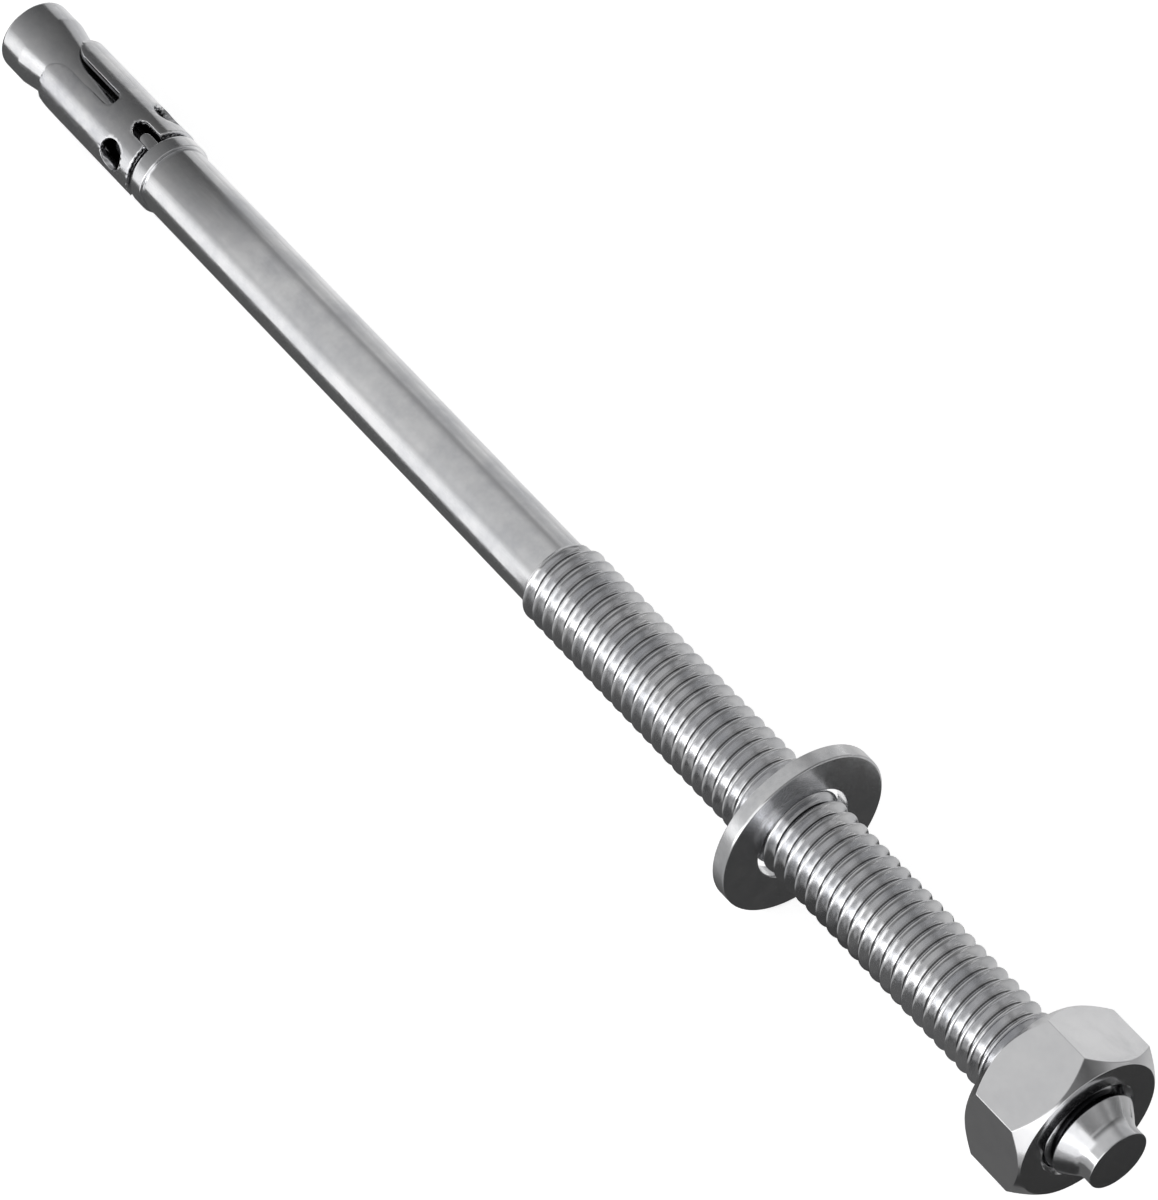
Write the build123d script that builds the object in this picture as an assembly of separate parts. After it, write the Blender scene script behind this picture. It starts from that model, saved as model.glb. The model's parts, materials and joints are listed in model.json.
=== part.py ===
from build123d import *
from math import ceil, cos, floor, radians, tan
import os

# A wedge anchor: a stud with a collar, a neck and a cone near its blind end, a sheet-steel
# expansion clip round the neck, and a washer and a hex nut on the threaded end.
# The stud's axis is X. The origin lies on it, in the plane where the washer meets the fixture.
# +X points out of the wall, towards the nut, and -X into the drilled hole. +Z is up.
# Turned features are placed by their angle about +X, counted from +Y towards +Z.

# Stud
stud_length = 112.0
stud_projection = 30.0
shank_diameter = 4.9

# Right-hand thread, a plain V between its crests and its roots, cut in a blank drawn past the crests
thread_diameter = 5.85
thread_root = 4.81
thread_pitch = 1.0
thread_length = 53.6
blank_allowance = 0.2
run_out_angle = 45.0

# Plain point at the stud's outer end, which keeps hammer blows off the thread
point_diameter = 4.1
point_length = 1.0
point_fillet = 1.0
lead_in_angle = 45.0

# Collar that pushes the clip into the hole, and the three lugs that keep the clip from turning
collar_diameter = 5.35
collar_length = 1.23
collar_edge = 0.25
lug_count = 3
lug_width = 0.8
lug_length = 1.25
lug_diameter = 5.25
lug_angle = 105.3

# Neck, cone and the short land that ends the stud
neck_diameter = 3.65
neck_length = 8.8
cone_angle = 10.5
land_diameter = 5.3
land_length = 2.1
land_edge = 0.26

# Expansion clip, rolled from one strip of sheet
clip_length = 10.4
clip_diameter = 5.47
clip_sheet = 0.45
clip_collar_gap = 0.27
clip_angle = 100.8
seam_width = 0.4
slot_width = 1.25
slot_root = 4.3
corner_reach = 1.7
corner_spread = 0.83
notch_width = 1.27
notch_depth = 1.97
window_diameter = 2.2
window_inset = 2.04

# Washer
washer_diameter = 11.8
washer_thickness = 1.05
washer_hole = 6.6

# Hex nut
nut_across_flats = 10.0
nut_height = 5.03
nut_face_diameter = 9.7
nut_stand_off = 22.3
nut_sides = 6
nut_angle = 30.0
thread_clearance = 0.08

# Stations along the stud, from its outer end inwards
tip_x = stud_projection
thread_end_x = tip_x - thread_length
blind_end_x = tip_x - stud_length
land_x = blind_end_x + land_length
cone_length = (land_diameter - neck_diameter) / 2 / tan(radians(cone_angle))
cone_x = land_x + cone_length
collar_front_x = cone_x + neck_length
collar_back_x = collar_front_x + collar_length
clip_rear_x = collar_front_x - clip_collar_gap
lug_spacing = 360.0 / lug_count


def side_plane(start_x):
    # A plane through the axis, seen from outside: its X runs from start_x towards the blind end,
    # its Y goes round the stud and its normal points outwards at angle 0
    return Plane(origin=(start_x, 0, 0), x_dir=(-1, 0, 0), z_dir=(0, 1, 0))


def turned(shape, angle):
    return Rot(angle, 0, 0) * shape


def ring(start_x, length, outer, inner=0):
    # A plain tube from start_x towards +X, by its two diameters, or a rod
    section = Circle(outer / 2)
    if inner:
        section -= Circle(inner / 2)
    return extrude(Plane.YZ.offset(start_x) * section, length)


def tongue(length, width):
    # A strip from the origin along X, with a round end
    straight = length - width / 2
    strip = Rectangle(straight, width, align=(Align.MIN, Align.CENTER))
    return strip + Pos(straight, 0) * Circle(width / 2)


def corner_at(section, x, r):
    return section.vertices().sort_by_distance((x, r, 0))[0]


def stud_section():
    # Half of the stud's lengthwise section, as a blank that isn't threaded yet
    blank_r = thread_diameter / 2 + blank_allowance
    shank_r = shank_diameter / 2
    point_r = point_diameter / 2
    collar_r = collar_diameter / 2
    land_r = land_diameter / 2
    neck_r = neck_diameter / 2
    point_x = tip_x - point_length
    lead_in = (blank_r - point_r) / tan(radians(lead_in_angle))
    run_out = (blank_r - shank_r) / tan(radians(run_out_angle))
    outline = Polyline(
        (blind_end_x, 0),
        (blind_end_x, land_r),
        (land_x, land_r),
        (cone_x, neck_r),
        (collar_front_x, neck_r),
        (collar_front_x, collar_r),
        (collar_back_x, collar_r),
        (collar_back_x, shank_r),
        (thread_end_x, shank_r),
        (thread_end_x + run_out, blank_r),
        (point_x - lead_in, blank_r),
        (point_x, point_r),
        (tip_x, point_r),
        (tip_x, 0),
        close=True,
    )
    section = make_face(outline)
    section = chamfer(corner_at(section, blind_end_x, land_r), land_edge)
    section = chamfer(corner_at(section, collar_front_x, collar_r), collar_edge)
    return fillet(corner_at(section, point_x, point_r), point_fillet)


def helix_turn(radius, start_x):
    # One turn about the stud's axis, from angle 0 at start_x
    return Plane.YZ.offset(start_x) * Edge.make_helix(thread_pitch, thread_pitch, radius)


def thread_cap(crest):
    # Closes the flanks to the axis under one turn of crest, by a sloping floor and an upright step
    start_x = (crest @ 0).X
    crest_r = thread_diameter / 2
    axis = Line((start_x, 0), (start_x + thread_pitch, 0))
    step = Polyline(
        (start_x, 0),
        (start_x, crest_r),
        (start_x + thread_pitch / 2, thread_root / 2),
        (start_x + thread_pitch, crest_r),
        (start_x + thread_pitch, 0),
        close=True,
    )
    return [Face.make_surface_from_curves(crest, axis.edge()), make_face(step).face()]


def thread_form():
    # A rod with the thread's two flanks wound all along it, turn by turn, and past both its ends
    first_x = floor(thread_end_x / thread_pitch - 1) * thread_pitch
    turns = ceil((tip_x - first_x) / thread_pitch) + 1
    starts = [first_x + i * thread_pitch for i in range(turns + 1)]
    crests = [helix_turn(thread_diameter / 2, x) for x in starts]
    roots = [helix_turn(thread_root / 2, x + thread_pitch / 2) for x in starts]
    skin = thread_cap(crests[0]) + thread_cap(crests[-1])
    for i in range(turns):
        skin.append(Face.make_surface_from_curves(crests[i], roots[i]))
        skin.append(Face.make_surface_from_curves(roots[i], crests[i + 1]))
    return Solid(Shell(skin))


def lug():
    # A round-ended key that runs from the collar along the neck, with its top turned round
    key = extrude(side_plane(collar_front_x) * tongue(lug_length, lug_width), lug_diameter)
    return key & ring(collar_front_x - lug_length, lug_length, lug_diameter)


def anchor_bolt():
    # The thread's form is a mould that leaves the rest of the blank whole, its lead-in cone too
    lead_in = (thread_diameter - point_diameter) / 2 / tan(radians(lead_in_angle))
    lead_in_x = tip_x - point_length - lead_in
    mould = thread_form() + ring(blind_end_x, thread_end_x - blind_end_x, washer_diameter)
    mould += ring(lead_in_x, tip_x - lead_in_x, washer_diameter)
    body = revolve(stud_section(), Axis.X) & mould
    for i in range(lug_count):
        body += turned(lug(), lug_angle + i * lug_spacing)
    return body


def slot_outline():
    # A slot from the clip's far edge inwards, whose mouth widens round the segments' corners
    half = slot_width / 2
    root = slot_root + half
    turn = clip_length - corner_reach
    outside = clip_length + clip_sheet
    side = Line((root, half), (turn, half))
    corner = TangentArc((turn, half), (clip_length, half + corner_spread), tangent=(1, 0))
    mouth = Polyline(corner @ 1, (outside, half + corner_spread), (outside, 0))
    far_side = Curve() + [side, corner, mouth]
    end = ThreePointArc((root, half), (slot_root, 0), (root, -half))
    return make_face(far_side + mirror(far_side, Plane.XZ) + end)


def notch_outline():
    # A U-shaped notch in the clip's rear edge, where a lug of the stud sits
    return Pos(-clip_sheet, 0) * tongue(notch_depth + clip_sheet, notch_width)


def punch(outline, angle):
    # What cuts one side of the clip's wall, straight towards the axis
    return turned(extrude(side_plane(clip_rear_x) * outline, clip_diameter), angle)


def expansion_clip():
    bore = clip_diameter - 2 * clip_sheet
    sleeve = ring(clip_rear_x - clip_length, clip_length, clip_diameter, bore)
    window = Pos(window_inset, 0) * Circle(window_diameter / 2)
    for i in range(lug_count):
        angle = clip_angle + i * lug_spacing
        sleeve -= punch(slot_outline(), angle)
        sleeve -= punch(notch_outline(), angle)
        sleeve -= punch(window, angle + lug_spacing / 2)
    seam = Rectangle(clip_length, seam_width, align=(Align.MIN, Align.CENTER))
    return sleeve - punch(seam, clip_angle - lug_spacing)


def washer():
    return ring(0, washer_thickness, washer_diameter, washer_hole)


def hex_nut():
    bore = thread_diameter + 2 * thread_clearance
    corner_diameter = nut_across_flats / cos(radians(180 / nut_sides))
    rim = (corner_diameter - nut_face_diameter) / 2
    blank = ring(nut_stand_off, nut_height, corner_diameter)
    blank = chamfer(blank.edges().filter_by(GeomType.CIRCLE), rim)
    hexagon = RegularPolygon(nut_across_flats / 2, nut_sides, major_radius=False)
    prism = extrude(Plane.YZ.offset(nut_stand_off) * hexagon, nut_height)
    blank &= turned(prism, nut_angle)
    return blank - ring(nut_stand_off, nut_height, bore)


nodes = {
    "anchor_bolt": anchor_bolt,
    "expansion_clip": expansion_clip,
    "washer": washer,
    "hex_nut": hex_nut,
}

os.makedirs("parts", exist_ok=True)
for name, build in nodes.items():
    export_step(build(), f"parts/{name}.step")
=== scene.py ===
import json
import math
import bpy
import bmesh
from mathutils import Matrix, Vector, geometry, kdtree

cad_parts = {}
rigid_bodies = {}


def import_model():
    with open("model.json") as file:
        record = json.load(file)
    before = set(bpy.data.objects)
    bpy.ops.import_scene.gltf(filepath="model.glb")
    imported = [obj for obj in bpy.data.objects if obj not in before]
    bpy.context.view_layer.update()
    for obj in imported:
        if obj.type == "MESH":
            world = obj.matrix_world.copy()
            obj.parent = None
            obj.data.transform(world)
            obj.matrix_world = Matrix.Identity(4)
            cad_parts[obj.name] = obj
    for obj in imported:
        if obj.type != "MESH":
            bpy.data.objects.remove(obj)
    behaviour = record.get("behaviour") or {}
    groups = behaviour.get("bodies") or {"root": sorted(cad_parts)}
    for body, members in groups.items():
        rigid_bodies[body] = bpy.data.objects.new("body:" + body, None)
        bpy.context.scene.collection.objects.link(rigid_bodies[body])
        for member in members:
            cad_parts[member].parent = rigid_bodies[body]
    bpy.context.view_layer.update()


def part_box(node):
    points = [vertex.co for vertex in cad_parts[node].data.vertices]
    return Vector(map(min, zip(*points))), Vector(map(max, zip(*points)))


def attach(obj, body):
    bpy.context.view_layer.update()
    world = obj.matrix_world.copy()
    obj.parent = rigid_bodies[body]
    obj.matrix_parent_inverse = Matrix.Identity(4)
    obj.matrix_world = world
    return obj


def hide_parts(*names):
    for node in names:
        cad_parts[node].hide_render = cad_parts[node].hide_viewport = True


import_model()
mm = 0.001
mergeGap = 0.0005 * mm     # points closer than this are one


def srgb(hexColour):
    # an sRGB hex colour as Blender's linear numbers
    channels = [int(hexColour[i:i + 2], 16) / 255 for i in (1, 3, 5)]
    return [c / 12.92 if c < 0.04045 else ((c + 0.055) / 1.055) ** 2.4 for c in channels] + [1.0]


def addNode(tree, kind, settings=None, **links):
    # one node, its settings, and what feeds its sockets: a number, a colour or another node's output
    made = tree.nodes.new(kind)
    for name, value in (settings or {}).items():
        setattr(made, name, value)
    for name, value in links.items():
        key = int(name[1:]) if name[0] == "s" and name[1:].isdigit() else name.replace("_", " ")
        socket = made.inputs[key]
        if isinstance(value, bpy.types.NodeSocket):
            tree.links.new(value, socket)
        else:
            socket.default_value = value
    return made


def newPiece(name, mesh, material):
    piece = bpy.data.objects.new(name, mesh)
    bpy.context.scene.collection.objects.link(piece)
    mesh.materials.clear()
    mesh.materials.append(material)
    return piece


def applied(piece):
    # bakes the modifiers into a plain mesh and takes them off
    graph = bpy.context.evaluated_depsgraph_get()
    mesh = bpy.data.meshes.new_from_object(piece.evaluated_get(graph))
    piece.modifiers.clear()
    piece.data = mesh
    return piece


def ringPoint(x, r, angle):
    return Vector((x, r * math.cos(angle), r * math.sin(angle)))


def softCorners(points, steps=5):
    # points are (x, r) or (x, r, radius): a corner with a radius becomes an arc
    path = []
    for i, point in enumerate(points):
        here = Vector(point[:2])
        radius = point[2] if len(point) > 2 else 0
        if not radius:
            path.append(here)
            continue
        before = (Vector(points[i - 1][:2]) - here).normalized()
        after = (Vector(points[i + 1][:2]) - here).normalized()
        half = before.angle(after) / 2
        reach = radius / math.tan(half)
        centre = here + (before + after).normalized() * radius / math.sin(half)
        start = here + before * reach - centre
        end = here + after * reach - centre
        turn = start.angle_signed(end)
        for k in range(steps + 1):
            a = -turn * k / steps
            path.append(centre + Vector((
                start.x * math.cos(a) - start.y * math.sin(a),
                start.x * math.sin(a) + start.y * math.cos(a))))
    return path


def heldEdges(path, hold, least=6):
    # a ring just inside each end of a straight stretch keeps its shading true, where it is at least so many
    # times as long as the hold
    held = [path[0]]
    for a, b in zip(path, path[1:]):
        length = (b - a).length
        if length > least * hold:
            held += [a + (b - a) * hold / length, b - (b - a) * hold / length]
        held.append(b)
    return held


def lathe(mesh, path, sectors):
    # turns (x, r) points about X; a point on the axis closes the skin there
    angles = [2 * math.pi * k / sectors for k in range(sectors)]
    rings = []
    for x, r in path:
        if r < mergeGap:
            rings.append([mesh.verts.new((x, 0, 0))])
        else:
            rings.append([mesh.verts.new(ringPoint(x, r, a)) for a in angles])
    for a, b in zip(rings, rings[1:]):
        for k in range(sectors):
            corners = [a[k % len(a)], b[k % len(b)], b[(k + 1) % len(b)], a[(k + 1) % len(a)]]
            corners = list(dict.fromkeys(corners))
            if len(corners) > 2:
                mesh.faces.new(corners)


def finishMesh(bm, name):
    bmesh.ops.remove_doubles(bm, verts=bm.verts, dist=mergeGap)
    bmesh.ops.dissolve_degenerate(bm, edges=bm.edges, dist=mergeGap)
    bmesh.ops.recalc_face_normals(bm, faces=bm.faces)
    mesh = bpy.data.meshes.new(name)
    bm.to_mesh(mesh)
    bm.free()
    return mesh


# A rolled metric thread of 1 mm pitch: narrow crests, wide rounded roots. Both threads share one helix.
threadSize = {
    "pitch": 1.0,
    "crestRadius": 2.925,
    "rootRadius": 2.405,
    "pitchRadius": 2.59,
    "rowsPerTurn": 16,
    "gathered": 0.55,
    "sectors": 84,
    "crestSoft": 0.04,
    "rootSoft": 0.22,
    "flankAngle": 30.0,
    "lip": 0.01,
}

# the tree's inputs, by their kind of socket
threadInputs = {
    "NodeSocketInt": ("sectors", "rows"),
    "NodeSocketFloat": ("start", "end", "firstRow", "rowSpan", "pitch", "gathered", "crestRadius",
                        "rootRadius", "pitchRadius", "crestSoft", "rootSoft", "flankSlope", "relief",
                        "mouthRadius", "mouthSlope", "blankRadius", "runOut", "lip", "endRadius"),
    "NodeSocketMaterial": ("material",),
}

# How the tree shapes the thread, a step at a time: the result, its operation and what goes in. A name there
# stands for an input, an earlier result, or X or Y, which run from -0.5 to 0.5 over the flat sheet.
threadSteps = (
    ("columnLines", "ADD", "sectors", 1.0),
    ("rowLines", "ADD", "rows", 1.0),
    # rows along the helix, gathered at its crests and roots
    ("turn", "ADD", "X", 0.5),
    ("along", "ADD", "Y", 0.5),
    ("evenRow", "MULTIPLY_ADD", "along", "rowSpan", "firstRow"),
    ("rowPitches", "DIVIDE", "evenRow", "pitch"),
    ("rowAngle", "MULTIPLY", "rowPitches", 4 * math.pi),
    ("wave", "SINE", "rowAngle"),
    ("gatheredPitch", "MULTIPLY", "pitch", "gathered"),
    ("swing", "MULTIPLY", "gatheredPitch", 1 / (4 * math.pi)),
    ("shift", "MULTIPLY", "wave", "swing"),
    ("row", "SUBTRACT", "evenRow", "shift"),
    ("helix", "MULTIPLY_ADD", "turn", "pitch", "row"),
    # ends clamped square, with the last row left for the wall
    ("rowsDone", "MULTIPLY", "along", "rows"),
    ("rowsBeforeLast", "SUBTRACT", "rows", 0.5),
    ("lastRow", "GREATER_THAN", "rowsDone", "rowsBeforeLast"),
    ("lipStart", "SUBTRACT", "end", "lip"),
    ("pastStart", "MAXIMUM", "helix", "start"),
    ("beforeLip", "MINIMUM", "pastStart", "lipStart"),
    ("axial", "MULTIPLY_ADD", "lastRow", "lip", "beforeLip"),
    # the ridge, by the distance from the groove's middle
    ("axialPitches", "DIVIDE", "axial", "pitch"),
    ("phase", "SUBTRACT", "axialPitches", "turn"),
    ("groovePitches", "PINGPONG", "phase", 0.5),
    ("fromGroove", "MULTIPLY", "groovePitches", "pitch"),
    ("quarter", "MULTIPLY", "pitch", 0.25),
    ("fromPitchLine", "SUBTRACT", "fromGroove", "quarter"),
    ("flank", "MULTIPLY_ADD", "fromPitchLine", "flankSlope", "pitchRadius"),
    ("rooted", "SMOOTH_MAX", "flank", "rootRadius", "rootSoft"),
    ("crested", "SMOOTH_MIN", "rooted", "crestRadius", "crestSoft"),
    # the relief at the last end, the mouths at both, and the run-out at the first
    ("toEnd", "SUBTRACT", "end", "axial"),
    ("fromStart", "SUBTRACT", "axial", "start"),
    ("pastRelief", "SUBTRACT", "toEnd", "relief"),
    ("reliefRun", "MAXIMUM", "pastRelief", 0.0),
    ("reliefSide", "MULTIPLY_ADD", "reliefRun", "flankSlope", "rootRadius"),
    ("relieved", "MINIMUM", "crested", "reliefSide"),
    ("toNearerEnd", "MINIMUM", "toEnd", "fromStart"),
    ("mouthDrop", "MULTIPLY", "toNearerEnd", "mouthSlope"),
    ("mouth", "SUBTRACT", "mouthRadius", "mouthDrop"),
    ("ridge", "MAXIMUM", "relieved", "mouth"),
    ("fade", "SMOOTHSTEP", "fromStart", "runOut"),
    ("overBlank", "SUBTRACT", "ridge", "blankRadius"),
    ("skinRadius", "MULTIPLY_ADD", "fade", "overBlank", "blankRadius"),
    ("wallHeight", "SUBTRACT", "endRadius", "skinRadius"),
    ("radius", "MULTIPLY_ADD", "lastRow", "wallHeight", "skinRadius"),
    # wound about the stud's axis
    ("angle", "MULTIPLY", "turn", 2 * math.pi),
    ("cosine", "COSINE", "angle"),
    ("sine", "SINE", "angle"),
    ("across", "MULTIPLY", "radius", "cosine"),
    ("up", "MULTIPLY", "radius", "sine"),
)


def buildThreadTree():
    # winds a flat sheet into one skin of thread, by the steps above
    tree = bpy.data.node_groups.new("threadSkin", "GeometryNodeTree")
    for kind, names in threadInputs.items():
        for name in names:
            tree.interface.new_socket(name, in_out="INPUT", socket_type=kind)
    tree.interface.new_socket("Geometry", in_out="OUTPUT", socket_type="NodeSocketGeometry")
    given = tree.nodes.new("NodeGroupInput").outputs
    spot = addNode(tree, "GeometryNodeInputPosition").outputs[0]
    flat = addNode(tree, "ShaderNodeSeparateXYZ", Vector=spot).outputs
    known = {socket.name: socket for socket in list(given) + list(flat)}
    for result, operation, *values in threadSteps:
        values = [known.get(value, value) for value in values]
        if operation == "SMOOTHSTEP":
            step = addNode(tree, "ShaderNodeMapRange", {"interpolation_type": operation}, Value=values[0],
                           From_Max=values[1])
        else:
            feeds = {"s%d" % i: value for i, value in enumerate(values)}
            step = addNode(tree, "ShaderNodeMath", {"operation": operation}, **feeds)
        known[result] = step.outputs[0]
    sheet = addNode(tree, "GeometryNodeMeshGrid", Size_X=1.0, Size_Y=1.0, Vertices_X=known["columnLines"],
                    Vertices_Y=known["rowLines"]).outputs["Mesh"]
    skin = addNode(tree, "ShaderNodeCombineXYZ", X=known["axial"], Y=known["across"], Z=known["up"])
    moved = addNode(tree, "GeometryNodeSetPosition", Geometry=sheet, Position=skin.outputs[0])
    merged = addNode(tree, "GeometryNodeMergeByDistance", Geometry=moved.outputs[0], Distance=mergeGap)
    real = addNode(tree, "GeometryNodeRealizeInstances", Geometry=merged.outputs[0])
    painted = addNode(tree, "GeometryNodeSetMaterial", Geometry=real.outputs[0], Material=given["material"])
    tree.links.new(painted.outputs[0], tree.nodes.new("NodeGroupOutput").inputs[0])
    return tree


def threadSkin(name, material, start, end, **limits):
    # a plain mesh of one thread, from start to end in metres; it has a run-out, a relief and countersunk
    # mouths only where limits gives them
    pitch = threadSize["pitch"] * mm
    turnsBefore = math.floor(start / pitch) - 1
    turns = math.ceil(end / pitch) - turnsBefore
    values = {
        "sectors": threadSize["sectors"],
        "rows": turns * threadSize["rowsPerTurn"],
        "start": start,
        "end": end,
        "firstRow": turnsBefore * pitch,
        "rowSpan": turns * pitch,
        "flankSlope": 1 / math.tan(math.radians(threadSize["flankAngle"])),
        "gathered": threadSize["gathered"],
        "runOut": 1e-7,         # as good as none, since the tree divides by it
        "relief": -1.0,         # past the thread's end, so there is none
        "mouthRadius": 0.0,
        "mouthSlope": 1.0,
        "material": material,
    }
    for key in ("pitch", "crestRadius", "rootRadius", "pitchRadius", "crestSoft", "rootSoft", "lip"):
        values[key] = threadSize[key] * mm
    values.update(limits)
    piece = newPiece(name, bpy.data.meshes.new(name), material)
    modifier = piece.modifiers.new("thread", "NODES")
    modifier.node_group = threadTree
    for item in threadTree.interface.items_tree:
        if item.in_out == "INPUT":
            modifier[item.identifier] = values[item.name]
    skin = applied(piece).data
    bpy.data.objects.remove(piece)
    return skin


threadTree = buildThreadTree()
print("thread tree built")

# Each finish: two shades of the plating and how wide its clouds are, the grain left by the making and how
# far it is drawn out along each axis, how dull the dull and bright grains are, and how deep the grain is.
# Clouds, grain and depth are in mm.
finishLooks = {
    "stud": {"pale": "#e6e6e7", "deep": "#cfd0d3", "cloud": 2.6, "grain": 0.12, "drawn": (0.06, 1.0, 1.0),
             "bright": 0.12, "dull": 0.25, "depth": 0.0022},
    "clip": {"pale": "#e4e4e5", "deep": "#cbccd0", "cloud": 1.8, "grain": 0.16, "drawn": (0.25, 1.0, 1.0),
             "bright": 0.13, "dull": 0.27, "depth": 0.0026},
    "washer": {"pale": "#e3e3e4", "deep": "#cdced0", "cloud": 1.5, "grain": 0.22, "drawn": (1.0, 1.0, 1.0),
               "bright": 0.15, "dull": 0.26, "depth": 0.0022},
    "nut": {"pale": "#eaeaeb", "deep": "#dfdfe1", "cloud": 2.6, "grain": 0.3, "drawn": (0.35, 1.0, 1.0),
            "bright": 0.13, "dull": 0.22, "depth": 0.0016},
}

# What all of them share: how broken up the clouds and the grain are, how much of the clouds' range shows as
# colour, and the clouds' share in the dulling, whose range is drawn out too.
platingLook = {
    "cloudDetail": 5.0,
    "cloudBreak": 0.6,
    "cloudRange": (0.35, 0.68),
    "grainDetail": 4.0,
    "grainBreak": 0.65,
    "cloudShare": 0.5,
    "dullRange": (0.38, 0.62),
}


def plated(name, look):
    # bright zinc over steel, returned with its tree, shader, place and colour so that a piece can add to it
    material = bpy.data.materials.new(name)
    material.use_nodes = True
    tree = material.node_tree
    shader = tree.nodes["Principled BSDF"]
    shader.inputs["Metallic"].default_value = 1.0
    place = addNode(tree, "ShaderNodeTexCoord").outputs["Object"]
    cloud = addNode(tree, "ShaderNodeTexNoise", Vector=place, Scale=1 / (look["cloud"] * mm),
                    Detail=platingLook["cloudDetail"], Roughness=platingLook["cloudBreak"]).outputs["Fac"]
    low, high = platingLook["cloudRange"]
    share = addNode(tree, "ShaderNodeMapRange", Value=cloud, From_Min=low, From_Max=high).outputs[0]
    colour = addNode(tree, "ShaderNodeMix", {"data_type": "RGBA"}, s0=share, s6=srgb(look["pale"]),
                     s7=srgb(look["deep"])).outputs[2]
    drawn = addNode(tree, "ShaderNodeMapping", Vector=place, Scale=look["drawn"]).outputs[0]
    grain = addNode(tree, "ShaderNodeTexNoise", Vector=drawn, Scale=1 / (look["grain"] * mm),
                    Detail=platingLook["grainDetail"], Roughness=platingLook["grainBreak"]).outputs["Fac"]
    cloudShare = platingLook["cloudShare"]
    worn = addNode(tree, "ShaderNodeMath", {"operation": "MULTIPLY"}, s0=grain, s1=1 - cloudShare)
    worn = addNode(tree, "ShaderNodeMath", {"operation": "MULTIPLY_ADD"}, s0=cloud, s1=cloudShare,
                   s2=worn.outputs[0])
    low, high = platingLook["dullRange"]
    dull = addNode(tree, "ShaderNodeMapRange", Value=worn.outputs[0], From_Min=low, From_Max=high,
                   To_Min=look["bright"], To_Max=look["dull"])
    bump = addNode(tree, "ShaderNodeBump", Height=grain, Strength=1.0, Distance=look["depth"] * mm)
    tree.links.new(colour, shader.inputs["Base Color"])
    tree.links.new(dull.outputs[0], shader.inputs["Roughness"])
    tree.links.new(bump.outputs[0], shader.inputs["Normal"])
    return material, tree, shader, place, colour


# Where shade is painted on the plating, by patches: how much of it is covered, and the patch's limits in mm,
# each by the distance from the axis or the place along it, first where the painted shade is full and then
# where it is gone.
# the stud's painted shade: on the neck under the clip, at the bottom of the thread's roots, and in the first
# groove, inside the nut's mouth
studPaintedShade = {
    "colour": "#242426",
    "patches": {
        "neck": {"share": 1.0,
                 "limits": (("radius", 1.95, 2.15), ("along", -66.9, -66.5), ("along", -70.5, -70.9))},
        "roots": {"share": 0.9,
                  "limits": (("radius", 2.4055, 2.41), ("along", -22.8, -23.4), ("along", 27.75, 27.8))},
        "firstGroove": {"share": 1.0,
                        "limits": (("along", 26.9, 26.6), ("along", 27.74, 27.76), ("radius", 2.6, 2.8))},
    },
}
# the clip's painted shade, over its whole inside above the neck
clipPaintedShade = {
    "colour": "#343436",
    "patches": {"inside": {"share": 1.0, "limits": (("radius", 2.29, 2.33),)}},
}


def withPaintedShade(finish, shade):
    # paints shade as a dark colour over the plating's own, where its patches are
    material, tree, shader, place, colour = finish
    axes = addNode(tree, "ShaderNodeSeparateXYZ", Vector=place).outputs
    flat = addNode(tree, "ShaderNodeCombineXYZ", Y=axes["Y"], Z=axes["Z"]).outputs[0]
    fromAxis = addNode(tree, "ShaderNodeVectorMath", {"operation": "LENGTH"}, s0=flat).outputs["Value"]
    measured = {"radius": fromAxis, "along": axes["X"]}
    mask = 0.0
    for patch in shade["patches"].values():
        covered = patch["share"]
        for measure, full, gone in patch["limits"]:
            limit = addNode(tree, "ShaderNodeMapRange", Value=measured[measure], From_Min=full * mm,
                            From_Max=gone * mm, To_Min=1.0, To_Max=0.0).outputs[0]
            covered = addNode(tree, "ShaderNodeMath", {"operation": "MULTIPLY"}, s0=covered,
                              s1=limit).outputs[0]
        mask = addNode(tree, "ShaderNodeMath", {"operation": "MAXIMUM"}, s0=mask, s1=covered).outputs[0]
    mixed = addNode(tree, "ShaderNodeMix", {"data_type": "RGBA"}, s0=mask, s6=colour,
                    s7=srgb(shade["colour"])).outputs[2]
    tree.links.new(mixed, shader.inputs["Base Color"])
    return material


def rolledStudFinish():
    # Cold-drawn and thread-rolled steel, bright zinc plated: long fine streaks along the shank, soft clouds
    # in the plating, and painted shade in the thread's roots, in its first groove and on the neck under the
    # clip.
    return withPaintedShade(plated("rolledZincPlatedSteel", finishLooks["stud"]), studPaintedShade)


def stampedClipFinish():
    # Spring steel strip, blanked, rolled into a sleeve and zinc plated: a drawn-out grain and soft roll
    # clouds outside, and painted shade on its inside.
    return withPaintedShade(plated("stampedZincPlatedStrip", finishLooks["clip"]), clipPaintedShade)


def pressedWasherFinish():
    # Blanked steel, tumbled and zinc plated: no direction to its grain, only small soft dents and clouds.
    return plated("tumbledZincPlatedWasher", finishLooks["washer"])[0]


def forgedNutFinish():
    # Cold-forged steel, zinc plated: broad flat faces, almost even, with a little flow along the axis.
    return plated("forgedZincPlatedNut", finishLooks["nut"])[0]


# The bore's painted shade, near-black under a patchy oil film; the film's patches and depth are in mm.
boreShadeLook = {
    "thick": "#0c0c0d",
    "thin": "#1d1d1e",
    "film": 0.4,
    "detail": 3.0,
    "bright": 0.45,
    "dull": 0.75,
    "specular": 0.15,
    "depth": 0.004,
}


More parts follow.
